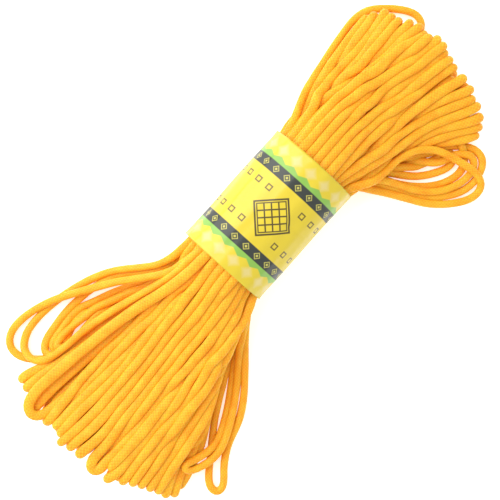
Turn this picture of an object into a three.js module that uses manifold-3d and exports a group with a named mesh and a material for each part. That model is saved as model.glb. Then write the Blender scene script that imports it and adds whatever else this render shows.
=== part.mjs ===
// A skein of satin rattail cord, lying flat: one long cord wound back and forth, held at its waist
// by a printed paper band. Millimetres, +Z up. The skein runs along X, and the origin is on the
// band's flat underside, on the surface that the skein lies on.
import * as THREE from "three";
import { mergeVertices } from "three/addons/utils/BufferGeometryUtils.js";
import Module from "manifold-3d";

const wasm = await Module();
wasm.setup();

// Driving dimensions
const CORD = 2.5; // diameter of the cord
const BAND_ENDS = { left: -22.1, right: 20.7 }; // X of the band's two edges
const BAND_WIDTH = 31; // the band is pressed into an oval
const BAND_HEIGHT = 25;
const BAND_WALL = 0.6; // paper, and the air between it and the cord
const LAP_WALL = 0.3; // added where the strip's end is pasted over its start
const LAP_ANGLES = [200, 235]; // degrees round the waist from the +Y side, over the top
const OVAL_STEP = 7.5; // degrees
const GAP = 0.3; // between the cord and the band
const FAN_HEIGHT = 11; // of the stacked turns, away from the waist
const COLLAPSE = 15; // how gently the waist's height falls to that of the fan

const CORD_COLOUR = 0xf9a822;
const PAPER_COLOUR = 0xf6dc3c;

// Each fan's top turns, in order from the +Y side: how far out each one reaches (x), and where it
// lies (y). lean is the heading of the first and last turn's end, in degrees.
const LEFT_FAN = {
  side: -1,
  waist: -BAND_ENDS.left,
  lean: [17, -20],
  ends: [
    { x: 92, y: 24.8 }, { x: 93, y: 21 }, { x: 96.4, y: 18 }, { x: 97.8, y: 14.8 },
    { x: 96.4, y: 11 }, { x: 96.4, y: 8 }, { x: 95, y: 5 }, { x: 97.8, y: 2 },
    { x: 96.6, y: -0.8 }, { x: 96.6, y: -3.6 }, { x: 96.4, y: -6.6 }, { x: 98, y: -9.8 },
    { x: 97.8, y: -13 }, { x: 97, y: -16.2 }, { x: 95.4, y: -19.4 }, { x: 93.4, y: -22.4 },
    { x: 92, y: -25.3 }, { x: 90.4, y: -28.3 }, { x: 89, y: -31.2 }, { x: 87.6, y: -34.2 },
    { x: 85.2, y: -36.8 }, { x: 81.6, y: -38.6 },
  ],
};
const RIGHT_FAN = {
  side: 1,
  waist: BAND_ENDS.right,
  lean: [6, -50],
  ends: [
    { x: 67, y: 18.8 }, { x: 69.6, y: 16.6 }, { x: 72.2, y: 14.2 }, { x: 72.6, y: 11.3 },
    { x: 74, y: 8.3 }, { x: 74.5, y: 5.4 }, { x: 75.4, y: 2.6 }, { x: 75, y: 0 },
    { x: 76.2, y: -2.6 }, { x: 75.5, y: -5.2 }, { x: 74.5, y: -7.6 }, { x: 73.2, y: -10 },
    { x: 72.8, y: -12.4 }, { x: 71.6, y: -14.7 }, { x: 72.6, y: -17.2 }, { x: 71.6, y: -19.8 },
    { x: 71.8, y: -22.3 }, { x: 69.5, y: -25.3 }, { x: 68.2, y: -27.7 }, { x: 66, y: -29.9 },
    { x: 64, y: -32 }, { x: 62.2, y: -33.7 },
  ],
};

// Turns that have slipped out of the fans and lie beside them as open loops. Each starts and ends
// inside its fan, and its points, x y z, are where the middle of the cord runs.
const LOOSE_LOOPS = [
  // +Y side of the left fan: the widest loop, over the next ones
  [[-25.5, 9, 15], [-34, 10.4, 13.4], [-41, 15.5, 11], [-49, 21.9, 6.8], [-58.2, 27.8, 4.6],
    [-66.4, 32.7, 3.6], [-72.5, 35.1, 2.2], [-79, 36.4, 1.4], [-83.6, 36.1, 1.35], [-86.8, 33.9, 1.35],
    [-87.7, 30.4, 1.35], [-86.3, 26.6, 1.35], [-82, 22, 1.35], [-68, 15, 3]],
  [[-25.5, 12.5, 12], [-35, 14.9, 10], [-40.5, 19.4, 7.2], [-47.5, 25.3, 3.5], [-56, 29.3, 1.5],
    [-66, 32, 1.35], [-75, 32.8, 1.35], [-81, 32, 1.35], [-84.7, 29.3, 1.7], [-85.2, 25.8, 3.2],
    [-83.4, 22.4, 5], [-77, 19.5, 6], [-62, 16, 6]],
  [[-27, 11, 12], [-37, 14.2, 8.5], [-43.5, 20.6, 4.6], [-50, 25.2, 2.4], [-58, 27.2, 1.4],
    [-67, 27.6, 1.35], [-75, 27, 1.35], [-79.7, 25.1, 1.5], [-81.8, 22.4, 1.8], [-77, 19.6, 2],
    [-66, 16, 3]],
  [[-37, 9, 8], [-45, 14, 4.4], [-52, 18.2, 2], [-60, 21.3, 1.4], [-68, 23, 1.35], [-75, 23.4, 1.4],
    [-78.6, 21.8, 1.6], [-76, 18.6, 2], [-66, 15, 3]],
  // -Y side of the left fan: the lowest loop, then one that lies on it and is folded tight
  [[-25.5, -13, 10], [-34, -20.2, 7.5], [-40.5, -25.7, 4.8], [-47, -32, 2], [-55, -36.8, 1.35],
    [-64.5, -40, 1.35], [-70.5, -43.9, 1.35], [-75, -47.8, 1.35], [-77.4, -47.7, 1.35],
    [-77.8, -44.8, 1.35], [-73.5, -40.4, 1.35], [-65, -35, 1.35], [-54, -27, 3]],
  [[-26, -12, 12], [-34, -19, 9.6], [-42, -25.5, 6.2], [-50, -31.6, 4.1], [-60, -36.9, 3.9],
    [-68, -39.4, 3.9], [-74.5, -37.6, 4], [-78.3, -35, 4.2], [-78, -32.8, 4.4], [-73, -35, 4.2],
    [-66, -36.8, 3.6], [-59, -33.9, 2.6], [-50, -28.2, 3], [-42, -22.7, 5], [-33, -16, 8]],
  // the long loop round the +Y corner of the right fan
  [[24.5, 12, 13], [34, 16.4, 10], [46, 19, 6], [58, 20.9, 2.6], [64.5, 21.5, 1.4], [69, 20.6, 1.35],
    [73.4, 16.9, 1.35], [77, 12.3, 1.35], [79.2, 7.6, 1.35], [78.4, 4.3, 1.35], [74, 2.8, 2],
    [66, 2, 4]],
  // -Y side of the right fan: the widest loop, whose end lies over the others
  [[24.5, -14, 9.5], [28, -20.4, 7.2], [32.6, -28.2, 4], [37.2, -36.8, 1.6], [43, -42.3, 1.35],
    [48, -45.2, 1.35], [51.9, -45, 1.6], [53.8, -41.5, 2.8], [53, -35, 4.4], [51.6, -29, 5.8],
    [49.2, -23.8, 7], [45, -20.3, 7.4], [36, -16, 8]],
  [[25.5, -12, 11], [31, -20.8, 7], [36, -31, 2.2], [42, -38, 1.35], [48, -41.3, 1.35],
    [55, -41.7, 1.35], [58.9, -39.4, 1.35], [59.8, -36, 1.35], [57.5, -31.4, 1.8], [50, -23, 4]],
  [[28, -12, 11], [32.6, -21.5, 6.4], [37.4, -29.8, 2], [43, -35, 1.35], [49, -38.1, 1.35],
    [54, -38.8, 1.35], [56.9, -36.7, 1.35], [55.5, -33.4, 1.5], [50, -26, 3]],
  [[30, -12, 10], [35, -23.5, 4.4], [41, -31, 1.5], [46.5, -34.9, 1.35], [51.5, -36, 1.35],
    [55.2, -34.2, 1.5], [57.6, -30.8, 2], [58, -27, 3], [54, -20, 5]],
  [[33, -14, 8], [38.5, -23.7, 3.2], [44, -28.9, 1.4], [49.5, -32.7, 1.35], [53, -32.9, 1.35],
    [54, -30.8, 1.35], [51.5, -28.9, 1.4], [45.5, -25.6, 2.4], [38, -18, 6]],
];

// How the wound turns are divided: points over one turn's back, and rows along a fan as shares of
// its length. The last rows round its end off, each at a share of the rounding away from the end.
const TURNS = LEFT_FAN.ends.length;
const ACROSS_TURN = 4;
const TOP_COLUMNS = TURNS * ACROSS_TURN;
const ROW_SHARES = [0, 0.05, 0.12, 0.22, 0.35, 0.5, 0.66, 0.82];
const ROUNDING_SHARES = [1, 0.4, 0];
const END_ROUNDING = 5;
// The turns' backs, from a valley over the crest: how deep the surface lies, how far it is set back
// at the fan's end, and how far it is across the turn
const BACK = [
  { depth: 1.1, setback: 1.2, across: 0 },
  { depth: 0.3, setback: 0.25, across: 0.22 },
  { depth: 0, setback: 0, across: 0.5 },
  { depth: 0.3, setback: 0.25, across: 0.78 },
];
const UNEVEN_HEIGHT = 0.7; // turns lie a little higher or lower than their neighbours
const UNEVEN_SIDE = 0.45; // and wander a little sideways

// How a turn runs in plan: it leaves the band straight, swelling out sideways, and then turns
// towards its own end. The shares are of its length, for a turn in the middle and one at the side.
const STRAIGHT_SHARES = { middle: 0.3, side: 0.16 };
const BULGE = 3.5;
const FINAL_SHARE = 0.4;

// The fans' cross-section: where it is widest, as a share of its height, how full its shoulders are
// (1 is an oval, less is squarer), and how far its underside is pressed flat
const WIDEST = 0.4;
const SHOULDERS = 0.55;
const PRESSED_FLAT = 1.5;
const BAND_PRESSED_FLAT = 0.4;

const waistY = BAND_WIDTH / 2 - BAND_WALL - GAP;
const waistZ = BAND_HEIGHT / 2 - BAND_WALL - GAP;
const waistFloor = BAND_WALL + GAP;
const middleZ = BAND_HEIGHT / 2 - BAND_PRESSED_FLAT;

const mix = THREE.MathUtils.lerp;
const radians = THREE.MathUtils.degToRad;

// A repeatable number from -1 to 1 for each turn
const uneven = (turn, salt) => Math.sin(turn * 12.9898 + salt * 78.233);

// Where a fan's column ends in plan, and its heading there
function columnEnd(fan, column) {
  const turn = Math.min(Math.floor(column / ACROSS_TURN), TURNS - 1);
  const back = column === TOP_COLUMNS ? BACK[0] : BACK[column % ACROSS_TURN];
  const heading = radians(mix(...fan.lean, column / TOP_COLUMNS));
  const out = new THREE.Vector2(Math.cos(heading), Math.sin(heading));
  const across = new THREE.Vector2(out.y, -out.x);
  const end = new THREE.Vector2(fan.ends[turn].x, fan.ends[turn].y);
  if (back.across > 0) {
    end.addScaledVector(across, (back.across - 0.5) * CORD);
  } else if (column === 0) {
    end.addScaledVector(across, -CORD / 2);
  } else if (column === TOP_COLUMNS) {
    end.addScaledVector(across, CORD / 2);
  } else {
    end.lerp(new THREE.Vector2(fan.ends[turn - 1].x, fan.ends[turn - 1].y), 0.5);
  }
  return { end: end.addScaledVector(out, -back.setback), out };
}

// A point of a column in plan, at a share of its way from the band to the fan's end
function planPoint(fan, column, share) {
  const { end, out } = columnEnd(fan, column);
  const sideways = Math.cos((Math.PI * column) / TOP_COLUMNS);
  const start = new THREE.Vector2(fan.waist + GAP, waistY * sideways);
  const length = start.distanceTo(end);
  const straight = length * mix(STRAIGHT_SHARES.middle, STRAIGHT_SHARES.side, sideways ** 2);
  const leave = start.clone().add(new THREE.Vector2(straight, BULGE * sideways));
  const arrive = end.clone().addScaledVector(out, -length * FINAL_SHARE);
  const point = new THREE.CubicBezierCurve(start, leave, arrive, end).getPoint(share);
  point.y += UNEVEN_SIDE * uneven(Math.round(column / ACROSS_TURN), 2) * Math.sin(Math.PI * share) ** 2;
  return { point, length };
}

// One row of a fan's surface: its top from +Y to -Y with a ridge for each turn, and its plain
// underside with a point for each turn. round goes from 1 to 0 where the fan's end is rounded.
function fanRow(fan, share, round) {
  const swell = Math.sqrt(1 - (1 - round) ** 2);
  const top = [];
  const under = [];
  for (let column = 0; column <= TOP_COLUMNS; column++) {
    const { point, length } = planPoint(fan, column, share);
    const angle = (Math.PI * column) / TOP_COLUMNS;
    const near = Math.exp((-share * length) / COLLAPSE);
    const back = BACK[column % ACROSS_TURN];
    const bulge = Math.sin(angle) ** mix(SHOULDERS, 1, near) * swell;
    const middle = mix(FAN_HEIGHT * WIDEST, middleZ, near);
    const high = mix(FAN_HEIGHT, middleZ + waistZ, near);
    const low = mix(-PRESSED_FLAT, middleZ - waistZ, near);
    const turn = Math.floor(column / ACROSS_TURN);
    const lift = back.across > 0 ? UNEVEN_HEIGHT * uneven(turn, 1) * (1 - near) : 0;
    const sunk = back.depth * Math.min(1, bulge * 1.5);
    const x = fan.side * point.x;
    const y = point.y - back.depth * Math.cos(angle) * near;
    top.push(new THREE.Vector3(x, y, middle + (high - middle + lift) * bulge - sunk));
    if (back.across === 0) {
      const z = Math.max(middle - (middle - low) * bulge, share === 0 ? waistFloor : 0);
      under.push(new THREE.Vector3(x, y, Math.min(z, middle)));
    }
  }
  return { top, under };
}

// The wound turns as one closed surface: the left fan, the waist and the right fan
function woundTurns() {
  const rows = [];
  for (const fan of [LEFT_FAN, RIGHT_FAN]) {
    const longest = planPoint(fan, TOP_COLUMNS / 2, 1).length;
    const fanRows = [
      ...ROW_SHARES.map((share) => fanRow(fan, share, 1)),
      ...ROUNDING_SHARES.map((left) => fanRow(fan, 1 - (left * END_ROUNDING) / longest, left)),
    ];
    if (fan === LEFT_FAN) fanRows.reverse();
    rows.push(...fanRows);
  }
  const positions = [];
  const keep = (point) => positions.push(point.x, point.y, point.z) / 3 - 1;
  const grid = rows.map((row, r) => {
    const top = row.top.map(keep);
    const rim = r === 0 || r === rows.length - 1;
    const under = row.under.map((point, turn) => {
      const shared = rim || turn === 0 || turn === TURNS;
      return shared ? top[turn * ACROSS_TURN] : keep(point);
    });
    return { top, under };
  });
  const faces = [];
  const face = (a, b, c) => {
    if (a !== b && b !== c && c !== a) faces.push(a, b, c);
  };
  for (let r = 0; r + 1 < grid.length; r++) {
    const [here, next] = [grid[r], grid[r + 1]];
    for (let c = 0; c < TOP_COLUMNS; c++) {
      face(here.top[c], here.top[c + 1], next.top[c]);
      face(here.top[c + 1], next.top[c + 1], next.top[c]);
    }
    for (let turn = 0; turn < TURNS; turn++) {
      face(here.under[turn], next.under[turn], here.under[turn + 1]);
      face(here.under[turn + 1], next.under[turn], next.under[turn + 1]);
    }
  }
  // between the top's fine edge and the underside's coarse one, at both of the skein's ends
  for (const [row, flip] of [[grid[0], false], [grid[grid.length - 1], true]]) {
    for (let c = 0; c < TOP_COLUMNS; c++) {
      const foot = Math.floor(c / ACROSS_TURN) * ACROSS_TURN;
      const [a, b] = flip ? [c + 1, c] : [c, c + 1];
      if (foot !== c) face(row.top[foot], row.top[b], row.top[a]);
    }
  }
  const geometry = new THREE.BufferGeometry();
  geometry.setAttribute("position", new THREE.Float32BufferAttribute(positions, 3));
  geometry.setIndex(faces);
  return geometry;
}

// A tube of the cord's own thickness along a loose loop's points
const SIDES = 8;
const STEPS_A_POINT = 2;
function looseLoop(points) {
  const route = new THREE.CatmullRomCurve3(points.map((p) => new THREE.Vector3(...p)), false, "centripetal");
  // the steps go by the points, which lie closer where the cord bends
  route.getUtoTmapping = (u) => u;
  const section = new THREE.Shape();
  section.absarc(0, 0, CORD / 2, 0, 2 * Math.PI);
  return new THREE.ExtrudeGeometry(section, {
    extrudePath: route,
    steps: STEPS_A_POINT * (points.length - 1),
    curveSegments: SIDES / 2,
    bevelEnabled: false,
  });
}

// The band's oval at a distance inside its outer face, pressed flat underneath, with the strip's
// end standing proud where it is pasted over its start
function ovalPoints(inset, lapped) {
  const points = [];
  for (let degrees = 0; degrees < 360; degrees += OVAL_STEP) {
    const proud = lapped && degrees > LAP_ANGLES[0] && degrees < LAP_ANGLES[1] ? LAP_WALL : 0;
    const y = (BAND_WIDTH / 2 - inset + proud) * Math.cos(radians(degrees));
    const z = middleZ + (BAND_HEIGHT / 2 - inset + proud) * Math.sin(radians(degrees));
    points.push(new THREE.Vector2(y, Math.max(z, inset)));
  }
  return points;
}

function paperBand() {
  const section = new THREE.Shape(ovalPoints(0, true));
  section.holes.push(new THREE.Path(ovalPoints(BAND_WALL, false)));
  const length = BAND_ENDS.right - BAND_ENDS.left;
  // the section's x and y become Y and Z, and its depth becomes X
  return new THREE.ExtrudeGeometry(section, { depth: length, bevelEnabled: false })
    .translate(0, 0, BAND_ENDS.left)
    .applyMatrix4(new THREE.Matrix4().set(0, 0, 1, 0, 1, 0, 0, 0, 0, 1, 0, 0, 0, 0, 0, 1));
}

// Joining solids needs shared corners: one point for each place, and no normals or texture places
function toSolid(geometry) {
  geometry.deleteAttribute("normal");
  geometry.deleteAttribute("uv");
  const merged = mergeVertices(geometry, 1e-3);
  return new wasm.Manifold(new wasm.Mesh({
    numProp: 3,
    vertProperties: merged.attributes.position.array,
    triVerts: new Uint32Array(merged.index.array),
  }));
}

function toGeometry(solid) {
  const mesh = solid.getMesh();
  const geometry = new THREE.BufferGeometry();
  geometry.setAttribute("position", new THREE.Float32BufferAttribute(mesh.vertProperties, 3));
  geometry.setIndex(new THREE.BufferAttribute(mesh.triVerts, 1));
  geometry.computeVertexNormals();
  return geometry;
}

function cordSkein() {
  let skein = toSolid(woundTurns());
  for (const points of LOOSE_LOOPS) skein = skein.add(toSolid(looseLoop(points)));
  return toGeometry(skein);
}

function piece(name, geometry, material) {
  const mesh = new THREE.Mesh(geometry, new THREE.MeshStandardMaterial(material));
  mesh.name = name;
  return mesh;
}

const skeinOfCord = new THREE.Group();
skeinOfCord.add(
  piece("cord_skein", cordSkein(), { color: CORD_COLOUR, roughness: 0.55, metalness: 0 }),
  piece("paper_band", paperBand(), { color: PAPER_COLOUR, roughness: 0.3, metalness: 0 }),
);
export default skeinOfCord;
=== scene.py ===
# A skein of satin rattail cord with a printed paper band round its waist, lying on a pale floor.
import math

import bpy
import numpy as np
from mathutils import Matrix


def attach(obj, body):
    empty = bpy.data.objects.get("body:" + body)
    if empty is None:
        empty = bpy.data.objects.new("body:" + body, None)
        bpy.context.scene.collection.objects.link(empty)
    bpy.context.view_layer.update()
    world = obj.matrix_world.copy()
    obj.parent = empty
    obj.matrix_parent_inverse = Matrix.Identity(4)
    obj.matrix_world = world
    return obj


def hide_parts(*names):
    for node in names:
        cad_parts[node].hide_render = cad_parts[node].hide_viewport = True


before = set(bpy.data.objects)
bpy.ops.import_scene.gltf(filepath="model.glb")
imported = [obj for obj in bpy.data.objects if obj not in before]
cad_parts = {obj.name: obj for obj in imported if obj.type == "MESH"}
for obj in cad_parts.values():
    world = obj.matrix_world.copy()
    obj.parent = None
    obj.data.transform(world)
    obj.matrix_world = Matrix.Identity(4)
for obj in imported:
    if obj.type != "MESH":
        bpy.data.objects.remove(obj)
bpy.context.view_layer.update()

# The photograph's viewpoint: straight down, with the skein's left end turned 48 degrees downwards.
# The picture is 160 mm wide where the loosest cords lie, and its middle is over a point beside the
# band.
MM = 0.001
scene = bpy.context.scene
view_over = (-12.6 * MM, -3.2 * MM)
view_height = 450 * MM
seen_level = 1.5 * MM
seen_width = 160 * MM
view_turn = math.radians(-48)
camera = bpy.data.objects.new("camera", bpy.data.cameras.new("camera"))
camera.data.sensor_width = 36
camera.data.lens = camera.data.sensor_width * view_height / seen_width
camera.location = (*view_over, seen_level + view_height)
camera.rotation_euler = (0, 0, view_turn)
scene.collection.objects.link(camera)
scene.camera = camera


# The cord: one long rattail, a soft woven satin tube 2.5 mm thick that is pressed to an oval where
# it is packed. It is wound to and fro into a flat skein whose turns fan out at both ends of the
# waist in about four layers, and a few turns have slipped out of the fans as open loops.
# Sizes are in millimetres. The waist is an ellipse of cords, and its reach is half its size.
cord_wide = 3.0
loose_wide = 2.45
cord_tall = 2.05
flatness = cord_wide / cord_tall
turns_each_fan = 50
band_ends = {"left": -22.1, "right": 20.7}
waist_fixed = 15
waist_straight = 3
waist_level = 12.1
waist_reach = (13.7, 11.1 * flatness)
waist_wide = 2.9
spread_limits = (0.93, 1.14)
softness = 0.93
waist_crown = 10.6
fan_start = 22
fan_level = 9.7
fan_rim_level = 2.4
dive_length = 16
upper_drop = 2.4
waist_drop = 6
hidden_depth = 4.8
point_step = 1.7
lowest_middle = 1.35

# A fan's turns that lie on top, in millimetres: where the turn ends (x, y), between which x it
# lies uppermost, then its y at each station. All x are counted away from the band's middle.
left_stations = (24, 32, 40, 50, 60, 70, 80, 90)
left_top = [
    (92.3, 24.4, 0, 99, 6.6, 7.0, 9.6, 12.3, 15.0, 17.2, 18.9, 23.2),
    (93.2, 20.2, 66, 99, 7.2, 8.0, 9.0, 11.6, 13.8, 15.9, 17.6, 19.4),
    (96.5, 14.1, 42, 99, 6.0, 6.8, 8.0, 9.6, 10.6, 11.8, 13.3, 14.2),
    (96.8, 8.2, 34, 99, 3.6, 4.4, 6.0, 6.9, 7.8, 8.4, 8.8, 8.3),
    (95.4, 5.9, 0, 80, 4.4, 4.0, 4.4, 5.5, 6.1, 6.4, 6.6, 6.2),
    (95.6, 4.4, 56, 99, 2.6, 2.8, 3.0, 3.4, 3.6, 3.9, 4.5, 4.6),
    (96.2, 2.6, 36, 99, 2.4, 3.2, 3.1, 2.7, 1.7, 1.5, 2.5, 2.9),
    (98.3, 0.9, 0, 99, 1.4, 1.3, 1.6, 1.1, -0.1, -0.3, -1.1, -0.5),
    (97.3, -2.6, 0, 99, -1.4, -1.9, -2.0, -2.2, -2.7, -3.4, -4.1, -3.7),
    (97.0, -6.3, 0, 99, -4.2, -4.8, -4.7, -4.9, -5.6, -6.6, -7.3, -7.3),
    (96.4, -12.4, 0, 78, -7.6, -9.0, -9.8, -10.2, -11.1, -11.5, -12.0, -12.4),
    (93.6, -16.6, 58, 99, -10.6, -12.2, -13.2, -13.8, -15.0, -15.9, -16.4, -16.5),
    (97.2, -18.0, 0, 99, -12.4, -14.6, -15.7, -16.4, -17.6, -18.6, -18.9, -18.8),
    (94.4, -22.2, 0, 99, -13.6, -16.8, -18.1, -19.2, -20.3, -21.1, -21.5, -22.0),
    (92.6, -24.9, 48, 99, -13.6, -16.2, -18.2, -20.6, -22.0, -22.9, -23.8, -24.7),
    (91.3, -27.4, 52, 99, -13.6, -16.4, -18.6, -21.4, -23.5, -25.1, -25.9, -26.9),
    (90.3, -30.1, 56, 99, -13.6, -16.5, -18.9, -22.0, -25.1, -27.3, -28.7, -30.0),
    (89.3, -32.6, 60, 99, -13.5, -16.5, -19.0, -22.6, -26.2, -28.9, -30.4, -32.8),
    (88.9, -34.9, 60, 99, -13.5, -16.6, -19.1, -22.9, -26.4, -29.2, -31.6, -35.2),
    (87.2, -36.8, 68, 99, -13.4, -16.6, -19.2, -22.9, -26.8, -30.9, -34.0, -36.8),
    (84.6, -38.0, 60, 99, -13.4, -16.6, -19.3, -23.2, -28.1, -33.3, -36.2, -38.0),
]
right_stations = (22, 30, 40, 50, 60, 66, 70)
right_top = [
    (67.9, 18.5, 0, 99, 12.2, 13.7, 15.6, 17.3, 18.3, 18.6, 18.6),
    (70.2, 16.8, 40, 99, 11.6, 13.0, 14.5, 15.8, 16.4, 16.6, 16.8),
    (72.6, 14.8, 0, 99, 10.4, 11.4, 12.9, 13.7, 14.0, 14.3, 14.6),
    (73.0, 12.7, 50, 99, 9.6, 9.8, 10.6, 10.7, 11.3, 12.0, 12.5),
    (73.3, 10.8, 38, 99, 9.0, 9.2, 10.2, 9.7, 9.8, 10.4, 10.8),
    (75.2, 7.2, 56, 99, 8.0, 8.0, 7.6, 7.0, 7.3, 7.5, 7.3),
    (76.0, 3.0, 54, 99, 7.4, 7.4, 7.0, 6.3, 5.5, 4.7, 4.0),
    (75.4, 0.9, 0, 99, 8.6, 8.8, 7.8, 5.9, 4.2, 3.1, 2.1),
    (75.6, -0.8, 55, 99, 6.4, 6.4, 6.0, 4.6, 2.9, 1.5, 0.5),
    (76.8, -2.8, 0, 99, 5.8, 5.7, 4.7, 2.5, 0.2, -1.2, -1.9),
    (71.0, -1.0, 0, 40, 2.7, 2.8, 2.9, 2.2, 1.0, 0.0, -0.6),
    (76.2, -5.4, 0, 99, 0.2, 0.3, 0.6, -0.4, -2.6, -3.9, -4.7),
    (75.2, -7.0, 46, 99, -1.0, -1.0, -1.2, -2.6, -4.6, -5.7, -6.4),
    (74.8, -8.9, 0, 99, -2.0, -1.9, -2.4, -4.8, -6.6, -7.6, -8.3),
    (73.8, -11.4, 0, 99, -4.4, -4.7, -5.6, -7.4, -9.0, -10.2, -11.0),
    (71.6, -13.2, 0, 46, -7.0, -7.8, -8.0, -8.9, -10.4, -11.8, -12.8),
    (73.2, -16.9, 32, 99, -9.6, -11.2, -11.0, -10.7, -13.1, -14.9, -16.1),
    (72.2, -21.0, 57, 99, -10.4, -12.0, -11.8, -12.4, -15.4, -18.2, -20.0),
    (70.4, -23.5, 0, 99, -10.6, -12.2, -12.6, -14.2, -18.7, -21.6, -23.1),
    (70.0, -26.2, 0, 99, -12.2, -14.6, -15.4, -17.7, -22.0, -24.8, -26.2),
    (68.0, -29.2, 42, 99, -12.6, -15.4, -17.2, -19.7, -25.0, -28.2, -29.2),
    (66.0, -31.2, 50, 99, -12.7, -15.8, -18.0, -21.4, -27.8, -31.0, -31.2),
    (63.2, -33.8, 55, 99, -12.8, -16.0, -18.6, -23.0, -31.0, -33.8, -33.8),
]

# Turns whose end is a flat bend that shows from above, as x, y and the height of the cord's
# middle: first the part that shows, then the part that runs back under the others
left_flat = [
    ([(24, 6.4, 19.5), (32, 6.6, 16), (38, 7.5, 13.8), (50, 10.9, 11.4), (60, 13.1, 10.4),
      (72, 15, 9.8), (84, 16.6, 9.3), (92, 17.2, 8.8), (96.2, 16.2, 8.2), (97.9, 13.6, 7.6),
      (97, 11.3, 7.2), (94, 9.8, 7)],
     [(88, 9, 6.4), (78, 8.6, 5.6), (60, 7.5, 5.6), (40, 5.5, 8), (24, 4, 12)]),
    ([(24, -6, 17), (32, -6.6, 14.4), (38, -7, 13), (44, -7.3, 12.2), (50, -7.6, 11.4),
      (60, -8.6, 10.5), (70, -9.3, 10), (80, -10.1, 9.8), (90, -10.6, 9.3), (95.8, -10.6, 8.8),
      (98, -12.3, 8.4), (96.8, -14.2, 8.4), (90, -14.4, 9), (80, -14.3, 9.6), (70, -13.9, 10),
      (60, -13.7, 10.5), (50, -13.4, 11.4), (40, -12.9, 13.4), (30, -11.7, 17),
      (24, -10.2, 20)], []),
]
# Turns that have slipped out of the fans and lie open beside them, in the same way. The part of
# each that lies outside its fan is also a tube of the CAD solid.
left_loose = [
    ([(24, 8.3, 17), (34, 10.4, 13.4), (41, 15.5, 11), (49, 21.9, 6.8), (58.2, 27.8, 4.6),
      (66.4, 32.7, 3.6), (72.5, 35.1, 2.2), (79, 36.4, 1.4), (83.6, 36.1, 1.2),
      (86.8, 33.9, 1.2), (87.7, 30.4, 1.2), (86.3, 26.6, 1.2), (82, 22, 1.2)],
     [(68, 16, 2), (50, 10, 3), (36, 8, 5), (24, 7, 8)]),
    ([(24, 12.4, 12.6), (35, 14.9, 10), (40.5, 19.4, 7.2), (47.5, 25.3, 3.5), (56, 29.3, 1.5),
      (66, 32, 1.2), (75, 32.8, 1.2), (81, 32, 1.2), (84.7, 29.3, 1.7), (85.2, 25.8, 3.2),
      (83.4, 22.4, 5), (77, 20.2, 6.5), (66, 18.7, 7.5), (58, 16.8, 8.5), (46, 13, 10.5),
      (40, 11, 12), (33, 9.2, 14.5), (24, 8.6, 18.5)], []),
    ([(24, 11.8, 10), (37, 14.2, 8.5), (41, 17.7, 6), (45, 21.4, 4), (49.5, 24.2, 2.4),
      (54, 25.7, 1.6), (58, 26.6, 1.2), (64, 27.1, 1.2), (70, 27, 1.2), (76, 26.3, 1.3),
      (80, 24.9, 1.6), (81.6, 22.6, 1.8)],
     [(77, 19.6, 2), (62, 15, 3), (46, 11, 4.4), (34, 10, 6), (24, 10, 8)]),
    ([(24, 11.6, 7), (36, 12, 5.5), (42, 14.8, 4), (46, 17.2, 2.8), (50, 19.3, 1.8),
      (56, 22, 1.2), (62, 24, 1.2), (68, 24.7, 1.2), (74, 24.5, 1.3), (78.5, 23.2, 1.8),
      (79, 21.4, 2.2)],
     [(74, 19, 2.4), (60, 14.5, 3), (44, 10, 4), (24, 8, 5)]),
    ([(24, 11, 9), (36, 11, 7), (45, 14, 5.2), (49, 16.2, 4.2), (54, 18.8, 3.4),
      (60, 20.9, 2.8), (68, 22.5, 2.4), (74, 23, 2.2), (77.6, 21.9, 2.2), (76, 19.8, 2.4)],
     [(68, 17.6, 2.6), (56, 14, 3), (44, 10, 3.4), (32, 9, 4.6), (24, 9, 6)]),
    ([(24, -12.8, 11), (34, -20.2, 7.5), (40.5, -25.7, 4.8), (47, -31.8, 2), (55, -36.9, 1.2),
      (64.5, -40, 1.2), (70.5, -43.9, 1.2), (75, -47.8, 1.2), (77.4, -47.7, 1.2),
      (77.8, -44.8, 1.2), (73.5, -40.4, 1.2), (70.4, -38.2, 1.2), (66.5, -35.3, 1.2),
      (63, -32.8, 1.4), (58, -29.5, 1.8), (50, -24.2, 2.6), (44, -20.7, 3.4)],
     [(38, -17.4, 4.4), (30, -13.5, 6.4), (24, -11.5, 8)]),
    ([(24, -12.4, 13.4), (34, -18.8, 9), (42, -25.1, 4.6), (50, -30.7, 2.2), (55, -33.8, 2.4),
      (60, -36.3, 3.4), (68, -39.1, 3.9), (74.5, -37.6, 4.6), (78.3, -35, 5.6),
      (78, -32.8, 6.2), (73, -35, 5), (66, -36.6, 3.6), (59, -33.9, 2.2), (50, -28.5, 1.5),
      (42, -22.8, 3.4), (33, -16.4, 8), (24, -11.4, 10)], []),
]
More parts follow.
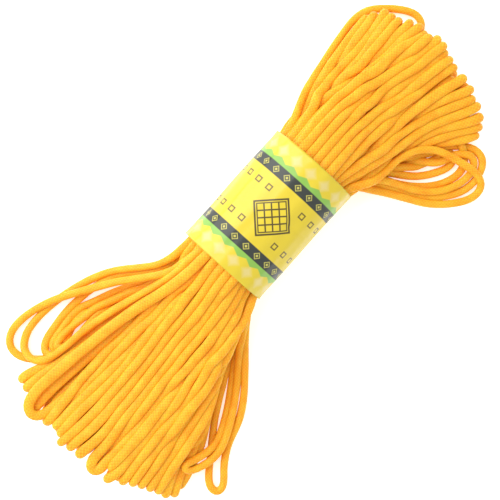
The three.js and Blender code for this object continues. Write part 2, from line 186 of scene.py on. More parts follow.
right_loose = [
    ([(22, 12, 13.5), (34, 16.4, 10), (46, 19, 6), (58, 20.9, 2.6), (64.5, 21.5, 1.4),
      (69, 20.6, 1.2), (73.4, 16.9, 1.2), (77, 12.3, 1.2), (79.2, 7.6, 1.2), (78.4, 4.3, 1.2),
      (74, 2.8, 1.8)],
     [(62, 3, 3), (44, 4, 4), (32, 5, 6), (22, 6, 8)]),
    ([(22, -12.8, 11), (28, -20.2, 7.2), (32.6, -28.2, 4), (37.2, -36.6, 1.6), (43, -42.4, 1.2),
      (48, -45.2, 1.2), (51.9, -45, 1.6), (53.8, -41.5, 2.8), (53, -35, 4.4), (51.6, -29, 5.8),
      (49.2, -23.8, 7), (45, -20.3, 8)],
     [(36, -16.8, 10), (28, -14, 12.5), (22, -11.6, 15)]),
    ([(22, -12.6, 9), (31, -20.8, 6.4), (34, -27.4, 3.4), (37.8, -33.8, 1.4), (42, -38.2, 1.2),
      (46, -40.8, 1.2), (50, -42, 1.2), (55, -41.5, 1.2), (58.9, -39.4, 1.2),
      (59.8, -36, 1.2), (57.5, -31.4, 1.8)],
     [(50, -23, 3), (38, -15, 4), (28, -11, 5.5), (22, -10, 7)]),
    ([(22, -12, 13), (32.6, -20.9, 7.6), (36, -28.4, 4), (42, -35.8, 2.8), (46, -38.1, 2.4),
      (50, -39.3, 2.2), (54, -39.2, 2), (57, -37.2, 1.8), (57.2, -34.6, 1.8)],
     [(53, -29, 2.4), (46, -21.6, 3), (38, -16, 3.6), (28, -11, 4.5), (22, -9, 6)]),
    ([(22, -10.8, 9), (30, -15.6, 6), (34.3, -23.7, 3.4), (39, -30.3, 1.4), (42.2, -33.3, 1.2),
      (46, -35.5, 1.2), (50, -36.7, 1.2), (53.4, -36.2, 1.3), (55.8, -34, 1.6),
      (57.6, -30.4, 2.4), (58, -27, 3.4)],
     [(52, -19, 4), (40, -13, 5.6), (30, -10.5, 8), (22, -9.5, 10)]),
    ([(22, -10, 12), (33, -15.5, 7), (37, -22.4, 3.4), (41, -27.6, 1.6), (44.5, -30.2, 1.2),
      (48, -32.2, 1.2), (51.4, -33, 1.2), (53.8, -31.4, 1.2), (53.4, -28.6, 1.4)],
     [(47.5, -22.6, 2.4), (38, -15, 5.4), (30, -12, 8), (22, -9, 11)]),
    ([(22, -9.4, 8), (34, -14, 6.4), (39.6, -21.8, 4), (44, -25, 2), (47, -26.9, 1.4),
      (50, -28.5, 1.2), (52.4, -28.1, 1.4), (52, -26, 1.8)],
     [(46, -20, 3), (38, -14.4, 5), (22, -8, 6)]),
]

chance = np.random.default_rng(11)


def blended(points, at):
    """A smooth curve through a row of points, read at positions counted in points."""
    p = np.vstack([2 * points[0] - points[1], points, 2 * points[-1] - points[-2]])
    i = np.clip(at.astype(int), 0, len(points) - 2)
    t = (at - i)[:, None]
    a, b, c, d = p[i], p[i + 1], p[i + 2], p[i + 3]
    return b + t * ((c - a) + t * ((2 * a - 5 * b + 4 * c - d) + t * (3 * b - 3 * c + d - a))) / 2


def stepped(points, step):
    """Points an even step apart on a smooth curve through the given ones."""
    p = np.array(points, float)
    knots = np.concatenate([[0], np.cumsum(np.linalg.norm(np.diff(p[:, :3], axis=0), axis=1))])
    even = np.linspace(0, knots[-1], 400)
    slope = np.gradient(p, knots, axis=0)
    i = np.clip(np.searchsorted(knots, even, side="right") - 1, 0, len(p) - 2)
    span = (knots[i + 1] - knots[i])[:, None]
    t = (even - knots[i])[:, None] / span
    line = (
        p[i] * (1 + 2 * t) * (1 - t) ** 2
        + p[i + 1] * t**2 * (3 - 2 * t)
        + span * (slope[i] * t * (1 - t) ** 2 - slope[i + 1] * t**2 * (1 - t))
    )
    gone = np.linalg.norm(np.diff(line[:, :3], axis=0), axis=1)
    along = np.concatenate([[0], np.cumsum(gone)])
    at = np.linspace(0, along[-1], round(along[-1] / step) + 1)
    return np.stack([np.interp(at, along, line[:, k]) for k in range(p.shape[1])], axis=1)


def top_level(x, share):
    """The height of the uppermost cords' middle, x from the middle and a share across the fan."""
    near = math.exp(-(max(x, fan_start) - fan_start) / 15)
    crown = math.sin(math.pi * min(max(share, 0.03), 0.97))
    fan = fan_rim_level + (fan_level - fan_rim_level) * crown**0.6
    waist = waist_level + waist_crown * crown
    return fan + (waist - fan) * near


def upright_turn(row, stations, share, sunk, rise):
    """A turn whose end bends round upright: out along the top, round, and back underneath."""
    end_x, end_y, first, last = row[:4]
    upper = []
    for x, y in zip(stations, row[4:]):
        if x < end_x - 4:
            before = max(0, min(1, (first - x) / dive_length))
            under = before + max(0, min(1, (x - last) / dive_length))
            near = math.exp(-(x - fan_start) / 12)
            held = 0.3 if sunk or under > 0.5 else 2.5
            level = top_level(x, share) - sunk - (upper_drop + waist_drop * near) * under
            upper.append((x, y * (1 - 0.5 * near * under), level, held))
    level = top_level(end_x, share) - sunk - upper_drop * (last < end_x)
    half = rise / 2
    bend = [
        (end_x - half * (1 - math.sin(a)), end_y, level - half + half * math.cos(a), 2)
        for a in np.linspace(0.25, 2.9, 5)
    ]
    lower = [
        (x, y + chance.uniform(-0.8, 0.8), z - rise * (1 + math.exp(-(x - fan_start) / 12)), 0.3)
        for x, y, z, _ in upper[::-1]
    ]
    return upper + bend + lower


def fan_turns(stations, top, flat, loose):
    """All the turns of one fan, as points, each with how well it keeps to its place."""
    turns = [
        [(*point, held) for point in seen] + [(*point, 0.3) for point in under]
        for rows, held in ((loose, 6), (flat, 3))
        for seen, under in rows
    ]
    for n, row in enumerate(top):
        turns.append(upright_turn(row, stations, (n + 0.5) / len(top), 0, 2.5))
    hidden = turns_each_fan - len(turns)
    # The hidden turns lie between the rows on top, clear of the fan's thin rims
    for n in range(hidden):
        place = (0.13 + 0.68 * (n + 0.5) / hidden) * (len(top) - 1)
        a, b = top[int(place)], top[int(place) + 1]
        row = [u + (v - u) * (place - int(place)) for u, v in zip(a, b)]
        row[:4] = row[0] - chance.uniform(-0.3, 1.6), row[1] + chance.uniform(-0.6, 0.6), 0, 99
        share = (place + 0.5) / len(top)
        turns.append(upright_turn(row, stations, share, hidden_depth, 2.2))
    return turns


def from_waist_middle(y, z):
    """How far out in the waist a cord is: one where it touches the band."""
    return np.hypot(y / waist_reach[0], z / waist_reach[1])


def waist_places(count):
    """Where the cords pass through the waist: close-packed, in the flattened bundle's scale."""
    spacing = 3.2
    while True:
        spacing -= 0.004
        r, c = np.meshgrid(range(-9, 10), range(-9, 10))
        places = np.stack([(c + 0.5 * (r % 2)) * spacing, r * spacing * math.sqrt(3) / 2], axis=2)
        places = places.reshape(-1, 2)
        out = from_waist_middle(*places.T)
        if (out <= 1).sum() >= count:
            return places[np.argsort(out, kind="stable")[:count]]


def waist_order(ends, firm, places):
    """Which place each end takes, so that the firmest ends lie nearest to where they aim."""
    order = np.argsort(np.argsort(ends[:, 0] + 0.01 * ends[:, 1]))
    chosen = np.argsort(places[:, 0] + 0.01 * places[:, 1])[order]
    cost = firm[:, None] * ((ends[:, None] - places[None]) ** 2).sum(2)
    changed = True
    while changed:
        now = cost[np.arange(len(ends)), chosen]
        swapped = cost[:, chosen]
        gain = now[:, None] + now[None] - swapped - swapped.T
        i, j = np.unravel_index(np.argmax(gain), gain.shape)
        changed = gain[i, j] > 1e-6
        if changed:
            chosen[[i, j]] = chosen[[j, i]]
    return chosen


def fanned_share(x):
    """How far a cord has come out of the waist: none at the band, one where the fan is open."""
    return np.clip((np.abs(x) - 20) / 12, 0, 1)


def cord_width(x, loose):
    """How wide a cord lies: narrow in the waist, and where it lies open beside its fan."""
    free_wide = np.where(loose, loose_wide, cord_wide)
    return waist_wide + (free_wide - waist_wide) * fanned_share(x)


def spread(lines, loose):
    """The same cords with their widths: each spreads until it meets the ones beside it."""
    p = np.vstack(lines).astype(np.float32)
    turn = np.repeat(np.arange(len(lines)), [len(line) for line in lines])
    room = np.empty(len(p))
    for a in range(0, len(p), 1000):
        gap = np.hypot(*(p[a : a + 1000, None, k] - p[None, :, k] for k in (0, 1)))
        beside = np.abs(p[a : a + 1000, None, 2] - p[None, :, 2]) < 0.4 * cord_wide
        room[a : a + 1000] = np.where(beside & (turn[a : a + 1000, None] != turn), gap, 9).min(1)
    wide = cord_width(p[:, 0], turn < loose)
    fan = (turn >= loose) * fanned_share(p[:, 0])
    least, most = spread_limits
    wide += fan * (np.clip(1.03 * room, least * cord_wide, most * cord_wide) - wide)
    evened = []
    for n, line in enumerate(lines):
        padded = np.pad(wide[turn == n], 4, "edge")
        evened.append(np.column_stack([line, np.convolve(padded, np.full(9, 1 / 9), "valid")]))
    return evened


def settled(lines, loose, band_end, rims, rounds):
    """The cords of one fan after they have sunk, pushed each other apart and come to rest."""
    start = np.cumsum([0] + [len(line) for line in lines])
    p, held = np.split(np.vstack(lines), [3], axis=1)
    aim = p.copy()
    count = len(p)
    turn = np.repeat(np.arange(len(lines)), np.diff(start))
    pull = np.minimum(0.06 * held, 0.5) * (1, 1, 0.4)
    fixed = p[:, 0] < waist_fixed + 0.01
    fanned = (turn >= loose) & (p[:, 0] > band_end + 10)
    size = softness * cord_width(p[:, 0], turn < loose)
    joined = np.flatnonzero(turn[:-1] == turn[1:])
    rest = np.linalg.norm(p[joined + 1] - p[joined], axis=1)
    middle = np.flatnonzero(turn[:-2] == turn[2:]) + 1

    def pushed(i, j, push):
        ends = np.concatenate([i, j])
        both = np.vstack([-push, push])
        return np.stack([np.bincount(ends, both[:, k], count) for k in range(3)], axis=1)

    for n in range(rounds):
        late = n / rounds
        # Every sixth round looks up anew which points are near each other
        if n % 6 == 0:
            q = p.astype(np.float32)
            norm = (q * q).sum(1)
            near = []
            for a in range(0, count, 1500):
                far = norm[a : a + 1500, None] + norm[None] - 2 * q[a : a + 1500] @ q.T
                i, j = np.nonzero(far < (1.35 * cord_wide) ** 2)
                i += a
                good = (i < j) & ((turn[i] != turn[j]) | (j - i > 4))
                near.append(np.stack([i[good], j[good]]))
            i, j = np.hstack(near)
            reach = (size[i] + size[j]) / 2
        # They sink, are drawn to their places and straighten
        p[:, 2] -= 0.06 * (1 - late) * ~fixed
        p += pull * (1 - 0.5 * late) * (aim - p)
        p[middle] += 0.22 * ((p[middle - 1] + p[middle + 1]) / 2 - p[middle])
        # They push each other apart, keep their length and stay over the floor and in the band
        for _ in range(3):
            gap = p[j] - p[i]
            length = np.maximum(np.linalg.norm(gap, axis=1), 1e-6)
            close = length < reach
            push = gap[close] * ((reach[close] / length[close] - 1) / 2)[:, None]
            touches = np.bincount(np.concatenate([i[close], j[close]]), minlength=count)
            p += pushed(i[close], j[close], push) / np.maximum(touches, 1)[:, None] ** 0.6
            gap = p[joined + 1] - p[joined]
            length = np.maximum(np.linalg.norm(gap, axis=1), 1e-6)
            p -= 0.5 * pushed(joined, joined + 1, gap * ((length - rest) / length / 2)[:, None])
            p[fixed] = aim[fixed]
            p[:, 2] = np.maximum(p[:, 2], floor_level)
            low, high = (np.interp(p[fanned, 0], rims[0], rim) for rim in rims[1:])
            p[fanned, 1] = np.clip(p[fanned, 1], low, high)
            inside = p[:, 0] < band_end + 0.8
            p[inside, 1:] /= np.maximum(from_waist_middle(p[inside, 1], p[inside, 2]), 1)[:, None]
    return [p[a:b] for a, b in zip(start[:-1], start[1:])]


def wound_fan(turns, loose, side, band_end, rims):
    """The settled cords of one fan and each end's place in the waist."""
    scale = np.array([1, 1, flatness, 1])
    shift = np.array([0, 0, waist_level, 0])
    turns = [(np.array(points) - shift) * scale for points in turns]
    ends = np.array([points[which][1:] for points in turns for which in (0, -1)])
    ends, firm = ends[:, :2], ends[:, 2]
    ends[:, 1] = (np.argsort(np.argsort(ends[:, 1])) / len(ends) * 2 - 1) * waist_reach[1]
    rim = waist_reach[1] * np.sqrt(np.clip(1 - (ends[:, 0] / waist_reach[0]) ** 2, 0, 1))
    ends[:, 1] = np.clip(ends[:, 1], -rim, rim)
    chosen = waist_order(ends, firm, waist).reshape(-1, 2)
    lines = []
    for n, points in enumerate(turns):
        half = np.argmax(points[:, 0])
        runs = []
        for part, place in ((slice(0, half), chosen[n, 0]), (slice(half, None), chosen[n, 1])):
            y, z = waist[place]
            # Across, a cord reaches its own line sooner than it comes down to its own level
            for axis, start, reach in ((1, y, 20), (2, z, 32)):
                reach = 8 if n < loose else reach
                share = np.clip((points[part, 0] - waist_fixed - waist_straight) / reach, 0, 1)
                share = share * share * (3 - 2 * share)
                points[part, axis] = start + share * (points[part, axis] - start)
            runs.append([(waist_fixed, y, z, 1), (waist_fixed + waist_straight, y, z, 1)])
        lines.append(stepped([*runs[0], *points, *runs[1][::-1]], point_step))
    lines = settled(lines, loose, band_end, rims, 220)
    lines = spread(lines, loose)
    return [(line / scale + shift) * (side, 1, 1, 1) for line in lines], chosen


def drawn(line):
    """A cord's points for its tube, close together where it bends, and how far along they are."""
    line[1:-1] += 0.25 * (line[:-2] + line[2:] - 2 * line[1:-1])
    fine = blended(line, np.linspace(0, len(line) - 1, 8 * len(line)))
    step = np.diff(fine[:, :3], axis=0)
    length = np.linalg.norm(step, axis=1)
    heading = step / length[:, None]
    turned = np.arccos(np.clip((heading[:-1] * heading[1:]).sum(1), -1, 1))
    longest, per_radian = 2.6, 1.9
    need = np.cumsum(length / longest + np.append(turned, 0) * per_radian)
    need = np.concatenate([[0], need])
    at = np.linspace(0, need[-1], math.ceil(need[-1]) + 1)
    along = np.concatenate([[0], np.cumsum(length)])
    points = np.stack([np.interp(at, need, fine[:, k]) for k in range(4)], axis=1)
    return points, np.interp(at, need, along)


floor_level = (lowest_middle - waist_level) * flatness
waist = waist_places(2 * turns_each_fan)
fans = []
for stations, top, flat, loose, side, end in (
    (left_stations, left_top, left_flat, left_loose, -1, -band_ends["left"]),
    (right_stations, right_top, [], right_loose, 1, band_ends["right"]),
):
    rims = (stations, top[-1][4:], top[0][4:])
    turns = fan_turns(stations, top, flat, loose)
    fans.append(wound_fan(turns, len(loose), side, end, rims))

# The winding as one mesh of edges: the points in the band's middle, then each fan's turns
middle = [(0, y, z / flatness + waist_level) for y, z in waist]
route, lengths, edges = [np.array(middle)], [np.zeros(len(middle))], []
widths = [np.full(len(middle), waist_wide)]
for lines, chosen in fans:
    for line, (first, last) in zip(lines, chosen):
        points, along = drawn(line)
        start = sum(len(part) for part in route)
        chain = [first, *range(start, start + len(points)), last]
        edges += zip(chain[:-1], chain[1:])
        route.append(points[:, :3])
        widths.append(points[:, 3])
        lengths.append(along + chance.uniform(0, 50))
route, lengths, widths = np.vstack(route), np.concatenate(lengths), np.concatenate(widths)
winding = bpy.data.meshes.new("winding")
winding.from_pydata((route * MM).tolist(), [(int(a), int(b)) for a, b in edges], [])
along = winding.attributes.new("along", "FLOAT", "POINT")
along.data.foreach_set("value", lengths * MM)
# The cord swells and thins a little along its length
swell = np.sin(lengths * 0.19) + np.sin(lengths * 0.083 + 1) + np.sin(lengths * 0.43 + 2)
wide = winding.attributes.new("wide", "FLOAT", "POINT")
wide.data.foreach_set("value", (widths + 0.05 * swell) * MM)


def add(tree, kind, links=None, **settings):
    """A node with its settings made and each input set to a value or linked to a node's output."""
    node = tree.nodes.new(kind)
    for name, value in settings.items():
        setattr(node, name, value)
    for name, value in (links or {}).items():
        if isinstance(value, bpy.types.Node):
            value = value.outputs[0]
        if isinstance(value, bpy.types.NodeSocket):
            tree.links.new(value, node.inputs[name])
        else:
            node.inputs[name].default_value = value
    return node


# The tube: a round section is drawn along the winding, then flattened about the cord's middle
tree = bpy.data.node_groups.new("cord_tube", "GeometryNodeTree")
tree.interface.new_socket("Winding", in_out="INPUT", socket_type="NodeSocketGeometry")
sides = tree.interface.new_socket("Sides", in_out="INPUT", socket_type="NodeSocketInt")
section = tree.interface.new_socket("Section", in_out="INPUT", socket_type="NodeSocketFloat")
fullness = tree.interface.new_socket("Fullness", in_out="INPUT", socket_type="NodeSocketFloat")
satin = tree.interface.new_socket("Satin", in_out="INPUT", socket_type="NodeSocketMaterial")
tree.interface.new_socket("Cord", in_out="OUTPUT", socket_type="NodeSocketGeometry")
given = add(tree, "NodeGroupInput").outputs
line = add(tree, "GeometryNodeMeshToCurve", {"Mesh": given["Winding"]})
place = add(tree, "GeometryNodeInputPosition")
held = add(tree, "GeometryNodeStoreNamedAttribute", {"Geometry": line.outputs[0], "Name": "centre"},
           data_type="FLOAT_VECTOR", domain="POINT")
tree.links.new(place.outputs[0], held.inputs["Value"])
ring = add(tree, "GeometryNodeCurvePrimitiveCircle", {"Resolution": given["Sides"], "Radius": 1.0})
round_at = add(tree, "GeometryNodeStoreNamedAttribute",
               {"Geometry": ring.outputs[0], "Name": "round", "Value": place.outputs[0]},
               data_type="FLOAT_VECTOR", domain="POINT")
across = add(tree, "GeometryNodeInputNamedAttribute", {"Name": "wide"}, data_type="FLOAT")
half = add(tree, "ShaderNodeMath", {0: across.outputs[0], 1: 0.5}, operation="MULTIPLY")
tube = add(tree, "GeometryNodeCurveToMesh",
           {"Curve": held.outputs[0], "Profile Curve": round_at.outputs[0],
            "Scale": half.outputs[0]})
centre = add(tree, "GeometryNodeInputNamedAttribute", {"Name": "centre"},
             data_type="FLOAT_VECTOR")
out = add(tree, "ShaderNodeVectorMath", {0: place.outputs[0], 1: centre.outputs[0]},
          operation="SUBTRACT")
square = add(tree, "ShaderNodeMath", {0: across, 1: across}, operation="MULTIPLY")
press = add(tree, "ShaderNodeMath", {0: given["Section"], 1: square}, operation="DIVIDE")
height = add(tree, "ShaderNodeSeparateXYZ", {0: out.outputs[0]}).outputs["Z"]
level = add(tree, "ShaderNodeMath", {0: height, 1: half.outputs[0]}, operation="DIVIDE")
level = add(tree, "ShaderNodeMath", {0: level, 1: level}, operation="MULTIPLY")
rest = add(tree, "ShaderNodeMath", {0: 1.0, 1: level}, operation="SUBTRACT")
corner = add(tree, "ShaderNodeMath", {0: level, 1: rest}, operation="MULTIPLY")
fuller = add(tree, "ShaderNodeMath", {0: corner, 1: given["Fullness"], 2: 1.0},
             operation="MULTIPLY_ADD")
lower = add(tree, "ShaderNodeMath", {0: fuller, 1: press}, operation="MULTIPLY")
shape = add(tree, "ShaderNodeCombineXYZ", {"X": fuller, "Y": fuller, "Z": lower})
flat = add(tree, "ShaderNodeVectorMath", {0: out.outputs[0], 1: shape.outputs[0]},
           operation="MULTIPLY")
moved = add(tree, "ShaderNodeVectorMath", {0: centre.outputs[0], 1: flat.outputs[0]},
            operation="ADD")
pressed = add(tree, "GeometryNodeSetPosition",
              {"Geometry": tube.outputs[0], "Position": moved.outputs[0]})
smooth = add(tree, "GeometryNodeSetShadeSmooth", {"Geometry": pressed.outputs[0]})
real = add(tree, "GeometryNodeRealizeInstances", {"Geometry": smooth.outputs[0]})
dressed = add(tree, "GeometryNodeSetMaterial",
              {"Geometry": real.outputs[0], "Material": given["Satin"]})
add(tree, "NodeGroupOutput", {"Cord": dressed.outputs[0]})


def linear(hex_colour):
    """An sRGB hex colour as the linear red, green, blue and alpha that a shader takes."""
    channels = [int(hex_colour[i : i + 2], 16) / 255 for i in (1, 3, 5)]
    return [c / 12.92 if c <= 0.04045 else ((c + 0.055) / 1.055) ** 2.4 for c in channels] + [1]


# Satin-woven rayon: an orange-yellow thread whose floats make a fine staggered grain of 0.5 mm
# with a soft sheen, a little redder where light comes through from cord to cord. Over it lie streaks
# 0.7 mm apart and faint patches of 4 mm, where the cord has been handled.
floats_round = 8.0
float_pitch = 1.1 * MM
satin_rattail = bpy.data.materials.new("satin_rattail")
satin_rattail.use_nodes = True
paint = satin_rattail.node_tree
shader = paint.nodes["Principled BSDF"]
along = add(paint, "ShaderNodeAttribute", attribute_name="along").outputs["Fac"]
around = add(paint, "ShaderNodeAttribute", attribute_name="round").outputs["Vector"]
parts = add(paint, "ShaderNodeSeparateXYZ", {0: around}).outputs
angle = add(paint, "ShaderNodeMath", {0: parts[1], 1: parts[0]}, operation="ARCTAN2")
threads = add(paint, "ShaderNodeMath", {0: angle, 1: floats_round}, operation="MULTIPLY")
picks = add(paint, "ShaderNodeMath", {0: along, 1: 2 * math.pi / float_pitch}, operation="MULTIPLY")
across_wave = add(paint, "ShaderNodeMath", {0: threads}, operation="SINE")
along_wave = add(paint, "ShaderNodeMath", {0: picks}, operation="SINE")
grain = add(paint, "ShaderNodeMath", {0: across_wave, 1: along_wave}, operation="MULTIPLY")
girth = add(paint, "ShaderNodeVectorMath", {0: around, 3: 1.25 * MM}, operation="SCALE")
slide = add(paint, "ShaderNodeCombineXYZ", {"Z": along})
seat = add(paint, "ShaderNodeVectorMath", {0: girth, 1: slide}, operation="ADD")
longer = add(paint, "ShaderNodeVectorMath", {0: seat, 1: (1, 1, 0.18)}, operation="MULTIPLY")
streaks = add(paint, "ShaderNodeTexNoise", {"Vector": longer, "Scale": 1500.0, "Detail": 3.0})
patches = add(paint, "ShaderNodeTexNoise", {"Vector": seat, "Scale": 260.0, "Detail": 3.0})
relief = add(paint, "ShaderNodeMath", {0: grain, 1: 0.45, 2: streaks.outputs["Fac"]},
             operation="MULTIPLY_ADD")
faded = add(paint, "ShaderNodeMath", {0: patches.outputs["Fac"], 1: 0.55, 2: 0.25},
            operation="MULTIPLY_ADD")
tone = add(paint, "ShaderNodeMath", {0: relief, 1: 0.39, 2: faded}, operation="MULTIPLY_ADD")
ramp = add(paint, "ShaderNodeValToRGB", {"Fac": tone})
ramp.color_ramp.elements[0].position = 0.35
ramp.color_ramp.elements[0].color = linear("#f08e10")
ramp.color_ramp.elements[1].position = 1.0
ramp.color_ramp.elements[1].color = linear("#fec638")
bump = add(paint, "ShaderNodeBump", {"Strength": 0.5, "Distance": 0.12 * MM, "Height": relief})
for name, value in {"Base Color": ramp, "Normal": bump}.items():
    paint.links.new(value.outputs[0], shader.inputs[name])
for name, value in {
    "Roughness": 0.46,
    "Specular IOR Level": 0.2,
    "Sheen Weight": 0.06,
    "Sheen Roughness": 0.4,
    "Subsurface Weight": 0.45,
    "Subsurface Radius": (1.0, 0.4, 0.1),
    "Subsurface Scale": 1.0 * MM,
}.items():
    shader.inputs[name].default_value = value

tube_sides = 12
tube_fullness = 0.6
template = bpy.data.objects.new("winding", winding)
scene.collection.objects.link(template)
nodes = template.modifiers.new("cord_tube", "NODES")
nodes.node_group = tree
nodes[sides.identifier] = tube_sides
nodes[section.identifier] = cord_wide * cord_tall * MM**2
nodes[fullness.identifier] = tube_fullness
nodes[satin.identifier] = satin_rattail
evaluated = template.evaluated_get(bpy.context.evaluated_depsgraph_get())
tube_mesh = bpy.data.meshes.new_from_object(evaluated)
tube_mesh.name = "rattail_cord"
cord = bpy.data.objects.new("rattail_cord", tube_mesh)
bpy.data.objects.remove(template)
bpy.data.meshes.remove(winding)
scene.collection.objects.link(cord)
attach(cord, "root")
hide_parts("cord_skein")

# The band: a strip of thin glossy paper wrapped round the waist and lapped under its -Y side, where
# it is glued. The pressed cords show through it as low ridges. It carries a generic print.
paper_half = (15.3, 12.3)
paper_thick = 0.14
lap_angles = (200, 235)
lap_lift = 0.26
paper_x = np.linspace(band_ends["left"], band_ends["right"], 72)
turn_round = np.radians(np.linspace(lap_angles[0] - 360, lap_angles[1], 260))
angle, x = np.meshgrid(turn_round, paper_x)
progress = (angle - turn_round[0]) / (turn_round[-1] - turn_round[0])
lift = lap_lift * np.clip((progress - 0.8) / 0.12, 0, 1)
from_end = np.minimum(x - paper_x[0], paper_x[-1] - x)
ridges = 0.07 * np.sin(angle * 17 + 0.6 * np.sin(x * 0.21)) + 0.06 * np.sin(angle * 11 - x * 0.07)
slack = 0.12 * np.sin(angle * 3 + 1) * np.sin(x * 0.16 + 0.5)
flare = 0.16 * np.exp(-from_end / 1.6) * (1 + np.sin(angle * 7 + 2 * np.sign(x)))
creases = np.zeros_like(x)
# A crease's place along and round the band, its lean, its depth and how far round it reaches
for cx, cy, slope, depth, length in (
    (0.6, 2.15, 0.02, 0.32, 0.42),
    (-9.0, 2.5, -0.05, 0.2, 0.3),
    (12.0, 2.35, 0.06, 0.24, 0.34),
    (5.0, 0.55, -0.04, 0.18, 0.3),
):
    off = x - cx - (angle - cy) * slope * 60
    creases -= depth * np.exp(-((off / 0.8) ** 2) - ((angle - cy) / length) ** 2)
away = lift + ridges + slack + flare + creases
paper_y = (paper_half[0] + away) * np.cos(angle)
paper_z = waist_level + (paper_half[1] + away) * np.sin(angle)
paper_z = np.maximum(paper_z, 0.1 + 0.3 * np.clip((progress - 0.75) / 0.2, 0, 1))
outer = np.stack([x, paper_y, paper_z], axis=2)
turned_in = np.stack([np.zeros_like(x), np.cos(angle), np.sin(angle)], axis=2)
inner = outer - paper_thick * turned_in
steps = np.linalg.norm(np.diff(outer[len(paper_x) // 2], axis=0), axis=1)
round_length = np.concatenate([[0], np.cumsum(steps)])
round_length -= np.interp(math.pi / 2, turn_round, round_length)
rows, columns = x.shape
index = np.arange(2 * rows * columns).reshape(2, rows, columns)
faces = []
for side, (near, far) in ((0, (1, 0)), (1, (0, 1))):
    sheet = index[side]
    quads = (sheet[:-1, :-1], sheet[:-1, 1:], sheet[1:, 1:], sheet[1:, :-1])
    faces.append(np.stack(quads[:: -1 if side else 1], axis=2).reshape(-1, 4))
for rim, flip in (
    (index[:, 0], False),
    (index[:, -1], True),
    (index[:, :, 0], True),
    (index[:, :, -1], False),
):
    quads = (rim[0, :-1], rim[1, :-1], rim[1, 1:], rim[0, 1:])
    faces.append(np.stack(quads[:: -1 if flip else 1], axis=1))
sheet_mesh = bpy.data.meshes.new("paper_label")
sheet_mesh.from_pydata(
    (np.vstack([outer.reshape(-1, 3), inner.reshape(-1, 3)]) * MM).tolist(),
    [],
    np.vstack(faces).tolist(),
)
sheet_mesh.shade_smooth()
print_place = sheet_mesh.attributes.new("sheet", "FLOAT_VECTOR", "POINT")
flat_place = np.stack([x, np.broadcast_to(round_length, x.shape), np.zeros_like(x)], axis=2)
both_sides = np.vstack([flat_place.reshape(-1, 3), flat_place.reshape(-1, 3) + (0, 0, 1)])
print_place.data.foreach_set("vector", both_sides.ravel())

# Glossy printed paper: lemon ground, dark strips of lozenges, green zigzag hems, pale diamonds along
# both edges, small squares and a lattice diamond in the middle. Its sizes are in millimetres, u
# along the skein and v round it.
printed_paper = bpy.data.materials.new("glossy_printed_paper")
printed_paper.use_nodes = True
ink = printed_paper.node_tree
shader = ink.nodes["Principled BSDF"]
place = add(ink, "ShaderNodeAttribute", attribute_name="sheet").outputs["Vector"]
centred = add(ink, "ShaderNodeVectorMath", {0: place, 1: (-0.7, 1.5, 0)}, operation="SUBTRACT")
u, v, back = add(ink, "ShaderNodeSeparateXYZ", {0: centred}).outputs


def printed(a, b, operation="MULTIPLY"):
    """The product of two values, or what another operation makes of them."""
    return add(ink, "ShaderNodeMath", {0: a, 1: b}, operation=operation)


def size_of(value):
    """A value without its sign."""
    return add(ink, "ShaderNodeMath", {0: value}, operation="ABSOLUTE")


def repeated(value, pitch):
    """The distance from the nearest of a row of marks two pitches apart."""
    return printed(value, pitch, "PINGPONG")


def inside_of(distance, limit, soft=0.12):
    """One where a distance is under a limit, with a soft printed edge."""
    limits = {0: distance, 1: limit - soft, 2: limit + soft, 3: 1.0, 4: 0.0}
    return add(ink, "ShaderNodeMapRange", limits)


def outside_of(distance, limit):
    """One where a distance is over a limit, with a soft printed edge."""
    return inside_of(printed(distance, -1.0), -limit)


def inked(under, colour, mask):
    """A colour printed over another where a mask is one."""
    inks = {"Factor": mask, "A": under, "B": linear(colour)}
    return add(ink, "ShaderNodeMix", inks, data_type="RGBA").outputs["Result"]


wide_u = size_of(u)
tall_v = size_of(v)

# Pale diamonds in a row along each edge, with soft outlines
edge_off = size_of(printed(wide_u, 17.6, "SUBTRACT"))
diamond = inside_of(printed(edge_off, repeated(v, 2.85), "ADD"), 1.9, 0.9)

# Green hems that end in a zigzag, and the dark strips beside them with their lozenges
hem_edge = printed(wide_u, printed(repeated(v, 2.6), 0.45), "ADD")
hem = printed(inside_of(hem_edge, 15.8), outside_of(wide_u, 13.3))
strip = printed(inside_of(wide_u, 13.6), outside_of(wide_u, 10.1))
strip_off = size_of(printed(wide_u, 11.85, "SUBTRACT"))
lozenge = printed(strip_off, repeated(v, 2.3), "ADD")
outline = inside_of(size_of(printed(lozenge, 1.15, "SUBTRACT")), 0.17)
pip = inside_of(lozenge, 0.5)

# The lattice in its diamond frame, in the middle
upward = repeated(printed(u, v, "ADD"), 1.6)
downward = repeated(printed(u, v, "SUBTRACT"), 1.6)
from_centre = printed(wide_u, tall_v, "ADD")
lattice = printed(
    inside_of(printed(upward, downward, "MINIMUM"), 0.33),
    inside_of(from_centre, 6.6),
)
lattice_frame = inside_of(size_of(printed(from_centre, 7.4, "SUBTRACT")), 0.4)

# A file of small squares on each side of the lattice, none of them beside it
file_off = size_of(printed(wide_u, 6.2, "SUBTRACT"))
square_off = printed(file_off, repeated(printed(v, 2.3, "ADD"), 2.3), "MAXIMUM")
square_line = inside_of(size_of(printed(square_off, 0.8, "SUBTRACT")), 0.2)
square = printed(square_line, outside_of(tall_v, 3.4))

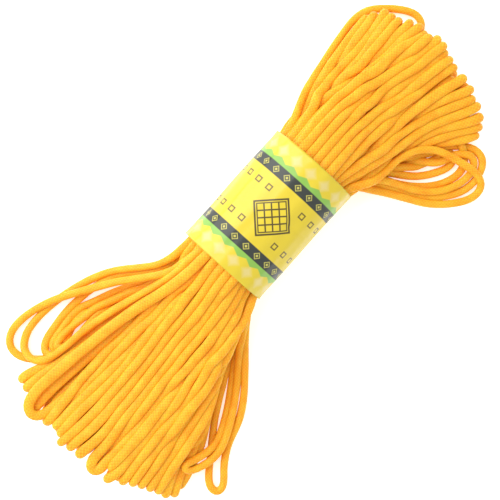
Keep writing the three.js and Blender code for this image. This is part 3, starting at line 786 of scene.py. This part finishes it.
colour = inked(linear("#dcc42a"), "#dfcc7c", diamond)
colour = inked(colour, "#86b84a", hem)
colour = inked(colour, "#2e332d", strip)
colour = inked(colour, "#c3bb58", printed(strip, outline))
colour = inked(colour, "#c3bb58", printed(strip, pip))
colour = inked(colour, "#4c3f16", lattice)
colour = inked(colour, "#4c3f16", lattice_frame)
colour = inked(colour, "#5a4a1c", square)
colour = inked(colour, "#f4f1e2", outside_of(back, 0.5))
ink.links.new(colour, shader.inputs["Base Color"])
fibre = add(ink, "ShaderNodeTexNoise", {"Vector": place, "Scale": 1.4, "Detail": 4.0})
bump = add(ink, "ShaderNodeBump", {"Strength": 0.12, "Distance": 0.2 * MM, "Height": fibre})
ink.links.new(bump.outputs[0], shader.inputs["Normal"])
for name, value in {
    "Roughness": 0.45,
    "Specular IOR Level": 0.3,
    "Coat Weight": 0.6,
    "Coat Roughness": 0.16,
}.items():
    shader.inputs[name].default_value = value
sheet_mesh.materials.append(printed_paper)
label = bpy.data.objects.new("paper_label", sheet_mesh)
scene.collection.objects.link(label)
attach(label, "root")
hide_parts("paper_band")

# The floor and the light: a plain white table under soft studio light from all round.
floor = bpy.data.objects.new("floor", bpy.data.meshes.new("floor"))
floor.data.from_pydata([(-2, -2, 0), (2, -2, 0), (2, 2, 0), (-2, 2, 0)], [], [(0, 1, 2, 3)])
scene.collection.objects.link(floor)
white = bpy.data.materials.new("matt_white_table")
white.use_nodes = True
white.node_tree.nodes["Principled BSDF"].inputs["Base Color"].default_value = linear("#fafafa")
white.node_tree.nodes["Principled BSDF"].inputs["Roughness"].default_value = 0.9
white.node_tree.nodes["Principled BSDF"].inputs["Emission Color"].default_value = (1, 1, 1, 1)
white.node_tree.nodes["Principled BSDF"].inputs["Emission Strength"].default_value = 0.5
floor.data.materials.append(white)
scene.world = bpy.data.worlds.new("studio")
scene.world.use_nodes = True
scene.world.node_tree.nodes["Background"].inputs["Color"].default_value = (1, 1, 1, 1)
scene.world.node_tree.nodes["Background"].inputs["Strength"].default_value = 0.85
lamp = bpy.data.objects.new("soft_box", bpy.data.lights.new("soft_box", "AREA"))
lamp.data.size = 0.9
lamp.data.energy = 6.6
lamp.location = (-0.15, 0.55, 0.55)
lamp.rotation_euler = (math.radians(-45), math.radians(-10), 0)
scene.collection.objects.link(lamp)
scene.view_settings.view_transform = "Standard"
